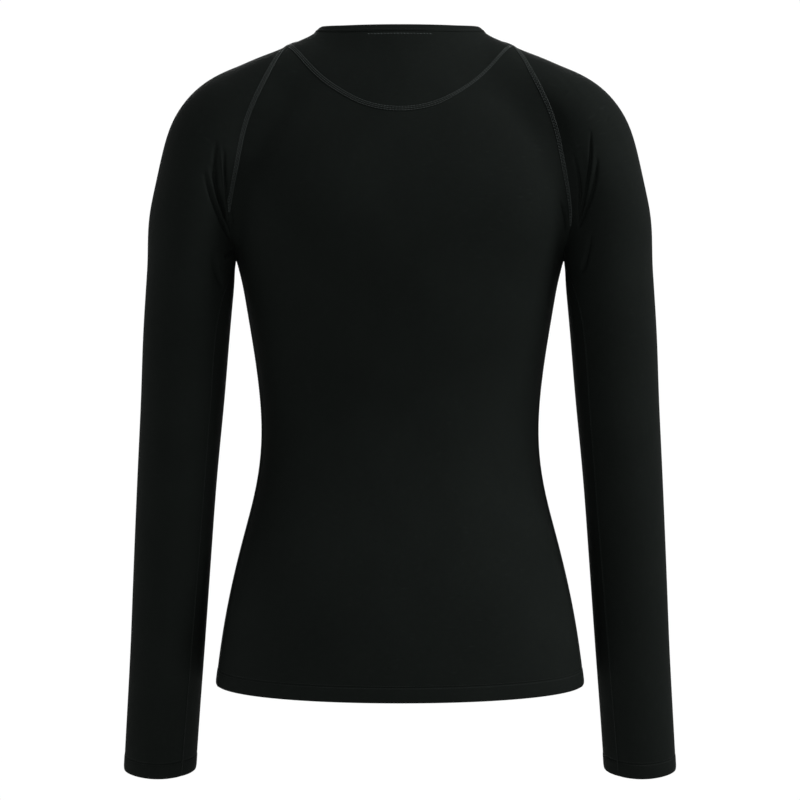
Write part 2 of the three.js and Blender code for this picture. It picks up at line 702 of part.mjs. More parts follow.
const sleeve = sleeveGrid();
const rightSleeve = sleeve.map((row) => row.map(mirrored));

const garment = new THREE.Group();
garment.add(
  clothPiece("front", wallOn(bodyGrid(-1, raglanFront, neckEdgeFront), -1, true), CLOTH_COLOUR),
  clothPiece("back", wallOn(bodyGrid(1, raglanBack, yokeSeam), -1, false), CLOTH_COLOUR),
  clothPiece("back_yoke", wallOn(yokeGrid(), -1, false), CLOTH_COLOUR),
  clothPiece("sleeve_left", wallOn(sleeve, 1, true), CLOTH_COLOUR),
  clothPiece("sleeve_right", wallOn(rightSleeve, 1, false), CLOTH_COLOUR),
  clothPiece("neck_binding", bindingSolid(), BINDING_COLOUR),
);

export default garment;
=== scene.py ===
"""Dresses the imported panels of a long-sleeved raglan base layer top in fine black jersey.

Laid out as a Blender add-on and run as a script. Metres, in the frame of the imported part: +Z up, the wearer
faces -Y and the garment's left is at +X. Sizes that a maker would give in millimetres are written so, times MM.
"""

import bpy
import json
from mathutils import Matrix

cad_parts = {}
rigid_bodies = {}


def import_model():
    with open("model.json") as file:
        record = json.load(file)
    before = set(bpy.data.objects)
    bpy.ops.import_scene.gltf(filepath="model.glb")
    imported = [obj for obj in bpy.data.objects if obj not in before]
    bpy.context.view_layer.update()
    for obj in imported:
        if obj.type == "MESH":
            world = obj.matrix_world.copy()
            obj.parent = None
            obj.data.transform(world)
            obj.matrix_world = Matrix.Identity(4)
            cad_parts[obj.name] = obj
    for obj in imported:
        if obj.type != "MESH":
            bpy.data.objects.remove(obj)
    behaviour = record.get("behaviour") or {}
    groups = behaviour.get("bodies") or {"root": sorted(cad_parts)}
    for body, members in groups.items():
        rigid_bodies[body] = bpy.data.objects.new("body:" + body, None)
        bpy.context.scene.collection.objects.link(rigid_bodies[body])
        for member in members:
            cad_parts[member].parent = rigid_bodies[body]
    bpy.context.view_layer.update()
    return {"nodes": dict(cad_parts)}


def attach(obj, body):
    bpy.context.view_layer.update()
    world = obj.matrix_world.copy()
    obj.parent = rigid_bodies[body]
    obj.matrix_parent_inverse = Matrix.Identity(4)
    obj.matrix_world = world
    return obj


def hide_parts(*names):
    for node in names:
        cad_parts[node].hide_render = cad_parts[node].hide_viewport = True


bl_info = {
    "name": "Base Layer Top",
    "version": (1, 0, 0),
    "blender": (4, 5, 0),
    "location": "View3D > Sidebar > Base Layer",
    "description": "Jersey panels, bound neck, flatlock seams and studio for a raglan base layer top",
    "category": "Add Mesh",
}

import json
import math
from collections import namedtuple

import bmesh
import bpy
import numpy as np
from mathutils import Vector
from mathutils.bvhtree import BVHTree
from mathutils.kdtree import KDTree

for leftover in list(bpy.data.objects):
    bpy.data.objects.remove(leftover)
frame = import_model()

MM = 0.001
BODY = "root"

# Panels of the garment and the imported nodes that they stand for
BODY_PANELS = ("front", "back", "back_yoke")
SLEEVES = ("sleeve_left", "sleeve_right")
BINDING = "neck_binding"

# What the faces of a panel are, kept as their material index
FACE_OUTSIDE, FACE_INSIDE, FACE_EDGE = 0, 1, 2

# The cut of each panel laid flat: its greatest width and length, and its area in square metres
Cut = namedtuple("Cut", "width length area")

# Centre line that the knit of each panel runs round, from its lower end up
BODY_AXIS = ((0, -6, -620), (0, -6, 80))
SLEEVE_AXIS = (
    (215, -29, -660), (205, -12, -510), (194.7, 2, -350), (185, 5, -209), (179, 5, -138),
    (160, 3, -88), (133, -2, -60), (105, -12, -44), (70, -25, -30), (40, -32, -22),
)
BODY_GIRTH_RADIUS = 130 * MM
SLEEVE_GIRTH_RADIUS = 36 * MM

# Soft folds. Each runs from its foot to its head as seen from one side: across is X seen from the back or front
# and Y seen from the left or right. A trough has a depth above zero and a ridge one below. Millimetres.
Fold = namedtuple("Fold", "side foot_across foot_z head_across head_z bow width depth")
FOLDS = (
    # Back of the right armhole, fanning up from the armpit
    Fold("back", -155.0, -161, -165.6, -80, -3.4, 1.1, 5.8),
    Fold("back", -155.6, -165, -171.8, -104, -3.2, 1.1, 5.4),
    Fold("back", -155.2, -155, -150.0, -100, -3.6, 1.15, 2.4),
    Fold("back", -146.2, -167, -139.0, -141, -1.4, 1.3, 3.6),
    Fold("back", -157.2, -150, -168.6, -92, -2.4, 1.3, -1.4),
    # Back of the left armhole
    Fold("back", 147, -166, 159.6, -89, 6.2, 1.9, 4.8),
    Fold("back", 146.5, -162, 152.8, -96, 1.9, 1.4, 3.8),
    Fold("back", 146.5, -176, 170.4, -116, 2.6, 1.7, 4.2),
    Fold("back", 146.8, -167, 164.8, -108, 2.2, 1.6, 3.6),
    Fold("back", 147.5, -158, 156.3, -90, 1.4, 1.3, -1.5),
    Fold("back", 146.5, -173, 168.0, -112, 1.2, 1.2, -1.2),
    Fold("back", 153.5, -190, 143, -181, 0.5, 1.5, 1.8),
    # Below the armpits, on the sleeves
    Fold("back", -158.6, -204, -166.0, -169, -1.2, 2.0, 2.2),
    Fold("back", 155, -216, 163, -184, 1.5, 3.5, 1.6),
    # Front of the armholes, which the photograph doesn't show
    Fold("front", 152, -170, 164, -92, 3.0, 1.6, 3.4),
    Fold("front", 153, -174, 172, -112, 3.2, 1.5, 3.0),
    Fold("front", 151, -164, 153, -116, 2.4, 1.3, 1.8),
    Fold("front", 155, -158, 167, -98, 2.8, 1.4, -1.0),
    Fold("front", 143, -172, 117, -143, 2.0, 3.4, 1.6),
    Fold("front", 157, -214, 168, -180, 1.4, 2.6, 1.8),
    Fold("front", -152, -172, -162, -88, -2.6, 1.5, 3.6),
    Fold("front", -153, -175, -170.5, -104, -3.6, 1.6, 2.8),
    Fold("front", -151.5, -162, -151, -110, -2.8, 1.3, 2.0),
    Fold("front", -155, -156, -168.5, -94, -2.4, 1.4, -1.0),
    Fold("front", -144, -176, -124, -150, -1.6, 3.0, 1.4),
    Fold("front", -158, -220, -166, -188, -1.6, 3.0, 1.5),
    # Inside of the elbows
    Fold("front", 181, -352, 199, -344, 1.6, 4.5, 1.0),
    Fold("front", 180, -369, 194, -366, -1.2, 5.0, 0.8),
    Fold("front", -181, -347, -200, -342, -1.2, 5.0, 0.9),
    Fold("front", -182, -371, -193, -363, 1.4, 4.0, 0.9),
)
# The back neckline arches up at its middle and dips at the shoulders, over these places and by these rises.
# Millimetres.
NECK_ARCH = 2.4
NECK_DIP = 3.4
NECK_HALF = 70
NECK_FADE = (74, 98)
NECK_FROM_Z = (-14, 3)
NECK_FROM_Y = (4, 24)

# The hem and the cuffs: the highest that their edge reaches, the middle that they go round, and the places of
# extra lines of points above the edge. Millimetres.
Opening = namedtuple("Opening", "name panels middle edge_top radius")
OPENINGS = (
    Opening("hem", ("front", "back"), (0, -6), -563.0, 300),
    Opening("left_cuff", ("sleeve_left",), (215, -29), -641.5, 60),
    Opening("right_cuff", ("sleeve_right",), (-215, -29), -641.5, 60),
)
TURNING_LINES = (1.0, 3.0, -2.2, -1.3, -0.5, 0.4, 1.3, 2.4)
TURNING_BULGE = 0.3
TURNING_CLOTH = 0.7
STITCH_SINK = 0.6
STITCH_SINK_WIDTH = 0.9
EDGE_ROUNDING = 0.5

# Flatlock seams: the panel whose edge is followed, the panels that it meets, the side of the garment, the share
# of the full width and the rows of needle stitches
Seam = namedtuple("Seam", "name panel meets side width rows")
SEAMS = (
    Seam("back_raglan_left", "sleeve_left", ("back", "back_yoke"), 1, 1.0, 2),
    Seam("back_raglan_right", "sleeve_right", ("back", "back_yoke"), -1, 1.0, 2),
    Seam("front_raglan_left", "sleeve_left", ("front",), 1, 1.0, 2),
    Seam("front_raglan_right", "sleeve_right", ("front",), -1, 1.0, 2),
    Seam("yoke_seam", "back_yoke", ("back",), 0, 1.0, 3),
    Seam("side_seam_left", "back", ("front",), 1, 0.45, 1),
    Seam("side_seam_right", "back", ("front",), -1, 0.45, 1),
    Seam("sleeve_seam_left", "sleeve_left", ("sleeve_left",), 1, 0.45, 1),
    Seam("sleeve_seam_right", "sleeve_right", ("sleeve_right",), -1, 0.45, 1),
)
# Edges nearer than this to each other are sewn together
SEWN_REACH = 1.7
# Two places on one panel's edge count as its two sides when they are this far apart along the edge
OWN_EDGE_APART = 25
# Cross-section of a seam: share of the half width, and height above the cloth in millimetres
SEAM_SECTION = ((-1.18, -0.25), (-1.12, 0.16), (-0.9, 0.34), (-0.45, 0.42), (0, 0.44), (0.45, 0.42), (0.9, 0.34),
                (1.12, 0.16), (1.18, -0.25))
NEEDLE_HEIGHT = 0.5
LOOPER_HEIGHT = 0.62
# A raglan seam farther out than this draws in to a share of its size below a height, over a run. The two sides
# of the body, at +X and -X, have a height each. Millimetres.
UNDERARM_ACROSS = 138
UNDERARM_LOW = {1: -157, -1: -169}
UNDERARM_RUN = 15
UNDERARM_SHARE = 0.22
# The yoke seam thins to a share of its width towards -X, between these two places across. Millimetres.
YOKE_SEAM_THINS = (26, 62)
YOKE_SEAM_SHARE = 0.6

# The row of stitches on the neck binding: its height above the panels' edges, how near those edges are to the
# binding, and the middle of the neck. Millimetres.
BINDING_ROW = 0.9
NECK_REACH = 1.2
NECK_MIDDLE = (0, -18)

# The row of stitches that holds a label inside the neck, as seen from the back. Millimetres.
LABEL_ROW = ((28.8, 4.3), (-28, 4.3))
LABEL_STITCH = 2.9

# Studio
HORIZON = -315 * MM
CAMERA_DISTANCE = 3.0
FRAME_WIDTH = 0.708
SENSOR_WIDTH = 36.0
FLOOR_HEIGHT = -1.37
FLOOR_RADIUS = 5.5


def linear(code):
    """The linear colour of an sRGB hex code, with full alpha."""
    channels = [int(code[place:place + 2], 16) / 255 for place in (1, 3, 5)]
    return tuple(c / 12.92 if c <= 0.04045 else ((c + 0.055) / 1.055) ** 2.4 for c in channels) + (1.0,)


class ClothSettings(bpy.types.PropertyGroup):
    """Sizes and colours of the jersey and its turnings."""

    knit_colour: bpy.props.FloatVectorProperty(
        name="Jersey", description="Colour of the dyed jersey", subtype="COLOR", size=4, min=0, max=1,
        default=linear("#090b0a"),
    )
    binding_colour: bpy.props.FloatVectorProperty(
        name="Binding", description="Colour of the folded neck binding", subtype="COLOR", size=4, min=0, max=1,
        default=linear("#0a0c0b"),
    )
    smoothing: bpy.props.IntProperty(
        name="Smoothing", description="Times that a panel's patches are split for a smooth surface",
        default=2, min=1, max=3,
    )
    turning: bpy.props.FloatProperty(
        name="Turning", description="Height of the turned-up hem and cuffs", unit="LENGTH",
        default=13.5 * MM, min=0.005, max=0.04,
    )
    fold_strength: bpy.props.FloatProperty(
        name="Folds", description="Share of the folds' full depth", subtype="FACTOR", default=1.0, min=0, max=2,
    )


class StitchSettings(bpy.types.PropertyGroup):
    """Thread and stitch sizes."""

    thread_colour: bpy.props.FloatVectorProperty(
        name="Seam thread", description="Colour of the flatlock and coverstitch thread", subtype="COLOR", size=4,
        min=0, max=1, default=linear("#161b1a"),
    )
    dark_thread_colour: bpy.props.FloatVectorProperty(
        name="Hem and side thread", description="Colour of the thread at the hem, cuffs, sides and sleeves",
        subtype="COLOR", size=4, min=0, max=1, default=linear("#0c0f0e"),
    )
    label_thread_colour: bpy.props.FloatVectorProperty(
        name="Label thread", description="Colour of the thread behind the neck", subtype="COLOR", size=4,
        min=0, max=1, default=linear("#4a504f"),
    )
    thread: bpy.props.FloatProperty(
        name="Thread", description="Thickness of the thread", unit="LENGTH", default=0.42 * MM, min=0.0001, max=0.002,
    )
    pitch: bpy.props.FloatProperty(
        name="Stitch length", description="Length of one flatlock stitch", unit="LENGTH", default=2.6 * MM,
        min=0.001, max=0.008,
    )
    flatlock_width: bpy.props.FloatProperty(
        name="Flatlock width", description="Width between the outer needle rows of a seam", unit="LENGTH",
        default=3.6 * MM, min=0.001, max=0.01,
    )


class StudioSettings(bpy.types.PropertyGroup):
    """Light and floor."""

    floor_colour: bpy.props.FloatVectorProperty(
        name="Floor", description="Colour of the pale floor", subtype="COLOR", size=4, min=0, max=1,
        default=linear("#f4f4f2"),
    )
    key_power: bpy.props.FloatProperty(
        name="Key light", description="Power of the large soft light", subtype="POWER", default=465.0, min=0,
    )
    fill_power: bpy.props.FloatProperty(
        name="Fill light", description="Power of the soft light on the other side", subtype="POWER", default=90.0,
        min=0,
    )
    side_power: bpy.props.FloatProperty(
        name="Side light", description="Power of the soft light beside the left sleeve", subtype="POWER",
        default=33.0, min=0,
    )


def add_node(tree, kind, settings=(), inputs=()):
    """Adds one shader node. settings are its own values, and inputs are numbers or other nodes' outputs."""
    made = tree.nodes.new(kind)
    for name, value in dict(settings).items():
        setattr(made, name, value)
    for name, value in dict(inputs).items():
        socket = made.inputs[name]
        if isinstance(value, bpy.types.NodeSocket):
            tree.links.new(value, socket)
        else:
            socket.default_value = value
    return made


def new_material(name):
    """An empty node material with its Principled shader, and the tree that holds them."""
    material = bpy.data.materials.new(name)
    material.use_nodes = True
    return material, material.node_tree, material.node_tree.nodes["Principled BSDF"]


# Spacing of the jersey's ribs of loops and of its rows. The real ones, 0.6 and 0.5 mm, are too fine to show, so
# they are drawn at twice that.
WALE_SPACING = 1.2 * MM
COURSE_SPACING = 1.0 * MM
# Thick places in the yarn: short level dashes this long and this high
SLUB_LENGTH = 8 * MM
SLUB_HEIGHT = 1.1 * MM


def knit_height(tree, place):
    """Height of the V-shaped loops of plain jersey, from the place on the cloth in metres."""
    parts = add_node(tree, "ShaderNodeSeparateXYZ", inputs={0: place}).outputs
    wale = add_node(tree, "ShaderNodeMath", {"operation": "DIVIDE"}, {0: parts["X"], 1: WALE_SPACING}).outputs[0]
    leg = add_node(tree, "ShaderNodeMath", {"operation": "PINGPONG"}, {0: wale, 1: 0.5}).outputs[0]
    course = add_node(tree, "ShaderNodeMath", {"operation": "DIVIDE"},
                      {0: parts["Y"], 1: COURSE_SPACING}).outputs[0]
    slanted = add_node(tree, "ShaderNodeMath", {"operation": "MULTIPLY_ADD"}, {0: leg, 1: 1.3, 2: course}).outputs[0]
    turned = add_node(tree, "ShaderNodeMath", {"operation": "MULTIPLY"}, {0: slanted, 1: math.tau}).outputs[0]
    rows = add_node(tree, "ShaderNodeMath", {"operation": "SINE"}, {0: turned}).outputs[0]
    gap = add_node(tree, "ShaderNodeMath", {"operation": "MULTIPLY"}, {0: leg, 1: math.tau}).outputs[0]
    ribs = add_node(tree, "ShaderNodeMath", {"operation": "SINE"}, {0: gap}).outputs[0]
    return add_node(tree, "ShaderNodeMath", {"operation": "MULTIPLY_ADD"}, {0: rows, 1: 0.35, 2: ribs}).outputs[0]


def slubs(tree, place, seed):
    """From 0 to 1 along sparse level dashes, where the yarn runs thick."""
    stretched = add_node(tree, "ShaderNodeVectorMath", {"operation": "MULTIPLY"},
                         {0: place, 1: (1 / SLUB_LENGTH, 1 / SLUB_HEIGHT, 1.0)}).outputs[0]
    moved = add_node(tree, "ShaderNodeVectorMath", {"operation": "ADD"}, {0: stretched, 1: (0, 0, seed)}).outputs[0]
    noise = add_node(tree, "ShaderNodeTexNoise", inputs={"Vector": moved, "Scale": 1.0, "Detail": 1.5})
    return add_node(tree, "ShaderNodeMapRange", {"clamp": True},
                    {"Value": noise.outputs["Fac"], "From Min": 0.6, "From Max": 0.76}).outputs["Result"]


def jersey_material(name, colour):
    """Merino jersey, knitted in the round, dyed and steamed.

    It gives a flat deep black with a faint cool bloom where it turns away, fine level flecks of thicker yarn and
    the small V-shaped loops of the knit.
    """
    material, tree, shader = new_material(name)
    place = add_node(tree, "ShaderNodeAttribute", {"attribute_name": "cloth_place"}).outputs["Vector"]
    light = slubs(tree, place, 0.0)
    dark = slubs(tree, place, 9.0)
    bloom = add_node(tree, "ShaderNodeTexNoise", inputs={"Vector": place, "Scale": 14.0, "Detail": 2.0})
    broad = add_node(tree, "ShaderNodeMapRange", inputs={
        "Value": bloom.outputs["Fac"], "From Min": 0.3, "From Max": 0.7, "To Min": 0.93, "To Max": 1.08,
    }).outputs["Result"]
    lifted = add_node(tree, "ShaderNodeMath", {"operation": "MULTIPLY_ADD"}, {0: light, 1: 0.4, 2: broad}).outputs[0]
    shade = add_node(tree, "ShaderNodeMath", {"operation": "MULTIPLY_ADD"}, {0: dark, 1: -0.22, 2: lifted}).outputs[0]
    coloured = add_node(tree, "ShaderNodeVectorMath", {"operation": "SCALE"},
                        {0: tuple(colour)[:3], "Scale": shade}).outputs[0]
    tree.links.new(coloured, shader.inputs["Base Color"])
    height = knit_height(tree, place)
    raised = add_node(tree, "ShaderNodeMath", {"operation": "MULTIPLY_ADD"}, {0: light, 1: 0.8, 2: height}).outputs[0]
    bump = add_node(tree, "ShaderNodeBump", inputs={"Height": raised, "Strength": 0.35, "Distance": 0.12 * MM})
    tree.links.new(bump.outputs["Normal"], shader.inputs["Normal"])
    shader.inputs["Roughness"].default_value = 0.82
    shader.inputs["Specular IOR Level"].default_value = 0.01
    shader.inputs["Sheen Weight"].default_value = 0.002
    shader.inputs["Sheen Roughness"].default_value = 0.45
    shader.inputs["Sheen Tint"].default_value = linear("#dfe6e6")
    return material


def thread_material(name, colour, shine=0.2):
    """Spun polyester sewing thread, twisted from plies.

    It catches a little more light than the jersey. Fine slanting bands follow the twist of the plies along each
    stitch: they are raised in the bump, and their glints and shade are also painted into the colour, lighter and
    darker.
    """
    material, tree, shader = new_material(name)
    place = add_node(tree, "ShaderNodeTexCoord").outputs["Object"]
    ply = add_node(tree, "ShaderNodeTexWave", {"wave_type": "BANDS", "bands_direction": "DIAGONAL"},
                   {"Vector": place, "Scale": 1 / (1.1 * MM) / math.tau, "Distortion": 1.5})
    # Painted glint and shade: the colour runs lighter and darker along the slanting ply bands, on top of their bump.
    shade = add_node(tree, "ShaderNodeMapRange", inputs={
        "Value": ply.outputs["Fac"], "To Min": 0.75, "To Max": 1.2,
    }).outputs["Result"]
    coloured = add_node(tree, "ShaderNodeVectorMath", {"operation": "SCALE"},
                        {0: tuple(colour)[:3], "Scale": shade}).outputs[0]
    tree.links.new(coloured, shader.inputs["Base Color"])
    bump = add_node(tree, "ShaderNodeBump",
                    inputs={"Height": ply.outputs["Fac"], "Strength": 0.4, "Distance": 0.08 * MM})
    tree.links.new(bump.outputs["Normal"], shader.inputs["Normal"])
    shader.inputs["Roughness"].default_value = 0.6
    shader.inputs["Specular IOR Level"].default_value = shine
    return material


def floor_material(colour):
    """Matt painted floor, rolled on.

    It gives an even pale ground with a faint unevenness.
    """
    material, tree, shader = new_material("painted_floor_matt")
    place = add_node(tree, "ShaderNodeTexCoord").outputs["Object"]
    noise = add_node(tree, "ShaderNodeTexNoise", inputs={"Vector": place, "Scale": 3.0, "Detail": 3.0})
    shade = add_node(tree, "ShaderNodeMapRange", inputs={
        "Value": noise.outputs["Fac"], "To Min": 0.99, "To Max": 1.0,
    }).outputs["Result"]
    coloured = add_node(tree, "ShaderNodeVectorMath", {"operation": "SCALE"},
                        {0: tuple(colour)[:3], "Scale": shade}).outputs[0]
    tree.links.new(coloured, shader.inputs["Base Color"])
    shader.inputs["Roughness"].default_value = 0.9
    return material


# Two faces that meet more sharply than this lie on different sides of a panel, or of the folded binding, or at
# a corner of a panel's edge
PANEL_ANGLE = math.radians(25)
BINDING_ANGLE = math.radians(50)
CORNER_ANGLE = math.radians(50)
WELD = 1e-6


def new_piece(name, mesh):
    """Links a mesh into the scene as a piece that rides on the garment."""
    piece = bpy.data.objects.new(name, mesh)
    bpy.context.scene.collection.objects.link(piece)
    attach(piece, BODY)
    return piece


def welded_patches(node):
    """A node's mesh with its corners welded and its triangles joined in pairs."""
    work = bmesh.new()
    work.from_mesh(node.data)
    bmesh.ops.remove_doubles(work, verts=work.verts, dist=WELD)
    bmesh.ops.join_triangles(work, faces=work.faces, angle_face_threshold=math.pi, angle_shape_threshold=math.pi)
    bmesh.ops.recalc_face_normals(work, faces=work.faces)
    return work


def regions(work, angle):
    """Groups of faces that no edge sharper than an angle parts, the largest first."""
    sharp = {edge for edge in work.edges if edge.calc_face_angle(0) > angle}
    left = set(work.faces)
    groups = []
    while left:
        start = left.pop()
        group = [start]
        waiting = [start]
        while waiting:
            for edge in waiting.pop().edges:
                if edge in sharp:
                    continue
                for face in edge.link_faces:
                    if face in left:
                        left.remove(face)
                        group.append(face)
                        waiting.append(face)
        groups.append(group)
    groups.sort(key=lambda faces: -sum(face.calc_area() for face in faces))
    return groups


def outwardness(faces, axis):
    """Above zero where the faces look away from a centre line."""
    total = 0.0
    for face in faces:
        centre = face.calc_center_median()
        nearest = min(axis, key=lambda spot: (spot - centre).length_squared)
        total += face.calc_area() * face.normal.dot(centre - nearest)
    return total


def along(points, step):
    """Places at even steps along a line through points given in millimetres, with the length so far."""
    line = np.array(points, float) * MM
    spans = np.linalg.norm(np.diff(line, axis=0), axis=1)
    reached = np.concatenate([[0], np.cumsum(spans)])
    lengths = np.arange(0, reached[-1], step)
    return np.stack([np.interp(lengths, reached, line[:, k]) for k in range(3)], 1), lengths


def axis_of(name):
    if name in BODY_PANELS or name == BINDING:
        return BODY_AXIS
    side = 1 if name.endswith("left") else -1
    return tuple((x * side, y, z) for x, y, z in SLEEVE_AXIS)


def marked_panel(name):
    """A panel's patches, with its edges kept sharp and its faces marked as outside, inside or edge."""
    work = welded_patches(frame["nodes"][name])
    crease = work.edges.layers.float.get("crease_edge") or work.edges.layers.float.new("crease_edge")
    axis = [Vector(spot) for spot in along(axis_of(name), 5 * MM)[0]]
    sheets = sorted(regions(work, PANEL_ANGLE)[:2], key=lambda faces: -outwardness(faces, axis))
    shares = {vert: [0.0, 0.0] for vert in work.verts}
    for side, faces in enumerate(sheets):
        for face in faces:
            for vert in face.verts:
                shares[vert][side] += face.calc_area()
    for face in work.faces:
        sides = {FACE_INSIDE if shares[vert][1] > shares[vert][0] else FACE_OUTSIDE for vert in face.verts}
        face.material_index = sides.pop() if len(sides) == 1 else FACE_EDGE
    for edge in work.edges:
        marks = {face.material_index for face in edge.link_faces}
        if len(marks) == 2 or (marks == {FACE_EDGE} and edge.calc_face_angle(0) > CORNER_ANGLE):
            edge[crease] = 1.0
    return work


def smoothed(work, levels):
    """The mesh after Catmull-Clark subdivision, applied."""
    mesh = bpy.data.meshes.new("patches")
    work.to_mesh(mesh)
    work.free()
    carrier = bpy.data.objects.new("patches", mesh)
    bpy.context.scene.collection.objects.link(carrier)
    split = carrier.modifiers.new("smooth", "SUBSURF")
    split.levels = levels
    split.render_levels = levels
    bpy.context.view_layer.update()
    evaluated = carrier.evaluated_get(bpy.context.evaluated_depsgraph_get())
    result = bmesh.new()
    result.from_mesh(bpy.data.meshes.new_from_object(evaluated))
    bpy.data.objects.remove(carrier)
    return result


def outside_surface(panels):
    """A search tree over the outside faces of several meshes."""
    places = []
    faces = []
    for work in panels:
        work.verts.index_update()
        base = len(places)
        places.extend(vert.co.copy() for vert in work.verts)
        faces.extend([vert.index + base for vert in face.verts] for face in work.faces
                     if face.material_index == FACE_OUTSIDE)
    return BVHTree.FromPolygons(places, faces)


VIEW_DIRECTIONS = {
    "back": (Vector((0, -1, 0)), lambda across, z: Vector((across, 1, z))),
    "front": (Vector((0, 1, 0)), lambda across, z: Vector((across, -1, z))),
    "left": (Vector((-1, 0, 0)), lambda across, z: Vector((1, across, z))),
    "right": (Vector((1, 0, 0)), lambda across, z: Vector((-1, across, z))),
}
FOLD_STEPS = 48
# A fold reaches its full depth by this share of its length, and fades towards its head by this power
FOLD_RISE = 0.14
FOLD_FADE_POWER = 3.0
# Folds ease away over this distance from a panel's sewn edge, in millimetres
FOLD_EDGE_EASE = 5.0
# Faces this near to a fold's middle are split once, and then once more, in millimetres
FOLD_REFINED = (8.0, 4.5)


def fold_line(fold, surface):
    """Places along a fold on the cloth, each with its share of the way from foot to head."""
    direction, start_at = VIEW_DIRECTIONS[fold.side]
    run = Vector((fold.head_across - fold.foot_across, fold.head_z - fold.foot_z))
    aside = Vector((run.y, -run.x)).normalized()
    line = []
    for step in range(FOLD_STEPS + 1):
        share = step / FOLD_STEPS
        bow = fold.bow * math.sin(math.pi * share)
        across = fold.foot_across + run.x * share + aside.x * bow
        z = fold.foot_z + run.y * share + aside.y * bow
        hit = surface.ray_cast(start_at(across * MM, z * MM), direction)[0]
        if hit is not None:
            line.append((hit, share))
    return line


def press_folds(panels, surface, strength):
    """Moves the cloth in along troughs and out along ridges."""
    lines = [(fold, fold_line(fold, surface)) for fold in FOLDS]
    for work in panels:
        work.normal_update()
        outside = [vert for vert in work.verts if any(f.material_index == FACE_OUTSIDE for f in vert.link_faces)]
        tree = KDTree(len(outside))
        for index, vert in enumerate(outside):
            tree.insert(vert.co, index)
        tree.balance()
        directions = [vert.normal.copy() for vert in outside]
        places = np.array([vert.co for vert in work.verts])
        sink = np.zeros(len(places))
        for fold, line in lines:
            if not line:
                continue
            spots = np.array([spot for spot, _ in line])
            shares = np.array([share for _, share in line])
            reach = fold.width * MM * 3
            low = spots.min(0) - reach
            high = spots.max(0) + reach
            near = np.flatnonzero(((places > low) & (places < high)).all(1))
            if not len(near):
                continue
            gaps = np.linalg.norm(places[near, None, :] - spots[None, :, :], axis=2)
            closest = gaps.argmin(1)
            fade = np.minimum(1, shares[closest] / FOLD_RISE) * (1 - shares[closest] ** FOLD_FADE_POWER)
            profile = np.exp(-((gaps.min(1) / (fold.width * MM)) ** 2))
            sink[near] += fold.depth * MM * fade * profile
        rim = even_steps(edge_loop(work), MM, True)
        work.verts.ensure_lookup_table()
        for index in np.flatnonzero(np.abs(sink) > 1e-6):
            vert = work.verts[index]
            away = np.linalg.norm(rim - places[index], axis=1).min() / (FOLD_EDGE_EASE * MM)
            ease = 1.0 if away > 1 else away * away * (3 - 2 * away)
            direction = directions[tree.find(vert.co)[1]]
            vert.co -= direction * float(sink[index] * ease) * strength


def ramp(value, low, high):
    """A smooth rise from 0 at the low end to 1 at the high end."""
    share = min(1.0, max(0.0, (value - low) / (high - low)))
    return share * share * (3 - 2 * share)


def arch_back_neck(work):
    """Lifts the middle of the back neckline and lowers its ends."""
    for vert in work.verts:
        x, y, z = vert.co / MM
        rise = max(NECK_ARCH - NECK_DIP * (x / NECK_HALF) ** 2, NECK_ARCH - NECK_DIP)
        fade = (1 - ramp(abs(x), *NECK_FADE)) * ramp(y, *NECK_FROM_Y) * ramp(z, *NECK_FROM_Z)
        vert.co.z += rise * fade * MM


def refine_near_folds(panels, surface):
    """Splits the faces round the folds twice more, so that a narrow fold has enough points across it."""
    spots = [spot for fold in FOLDS for spot, _ in fold_line(fold, surface)]
    tree = KDTree(len(spots))
    for index, spot in enumerate(spots):
        tree.insert(spot, index)
    tree.balance()
    for work in panels:
        for reach in FOLD_REFINED:
            edges = {edge for face in work.faces if tree.find(face.calc_center_median())[2] < reach * MM
                     for edge in face.edges}
            bmesh.ops.subdivide_edges(work, edges=list(edges), cuts=1, use_grid_fill=True)


def edge_loop(work):
    """The outside edge of a panel as places in order round it."""
    links = {}
    for edge in work.edges:
        if sorted(face.material_index for face in edge.link_faces) == [FACE_OUTSIDE, FACE_EDGE]:
            first, second = edge.verts
            links.setdefault(first, []).append(second)
            links.setdefault(second, []).append(first)
    loops = []
    left = set(links)
    while left:
        here = left.pop()
        loop = [here]
        while True:
            onward = [vert for vert in links[here] if vert in left]
            if not onward:
                break
            here = onward[0]
            left.remove(here)
            loop.append(here)
        loops.append(loop)
    return np.array([vert.co for vert in max(loops, key=len)])


def even_steps(points, step, closed=False):
    """The same line with places at even steps."""
    line = np.vstack([points, points[:1]]) if closed else np.asarray(points)
    reached = np.concatenate([[0], np.cumsum(np.linalg.norm(np.diff(line, axis=0), axis=1))])
    count = max(2, round(reached[-1] / step) + (0 if closed else 1))
    lengths = np.linspace(0, reached[-1], count, endpoint=not closed)
    return np.stack([np.interp(lengths, reached, line[:, k]) for k in range(3)], 1)


def edge_height(opening, works):
    """A function that gives the height of a hem's or cuff's edge at a place's bearing from its middle."""
    top = opening.edge_top * MM
    low = np.vstack([loop[loop[:, 2] < top] for loop in (even_steps(edge_loop(w), MM, True) for w in works)])
    middle = np.array(opening.middle) * MM
    bearing = np.arctan2(low[:, 1] - middle[1], low[:, 0] - middle[0])
    order = np.argsort(bearing)

    def height(places):
        turn = np.arctan2(places[..., 1] - middle[1], places[..., 0] - middle[0])
        return np.interp(turn, bearing[order], low[order, 2], period=math.tau)

    return height


def cut_along(work, field, level):
    """Adds a line of edges to a mesh where its field, a layer of numbers on its points, passes a level."""
    made = []
    for edge in list(work.edges):
        first, second = (vert[field] for vert in edge.verts)
        if (first < level) == (second < level) or abs(first - second) > 0.05:
            continue
        share = (level - first) / (second - first)
        if 0.02 < share < 0.98:
            made.append(bmesh.utils.edge_split(edge, edge.verts[0], share)[1])
    bmesh.ops.connect_verts(work, verts=made)


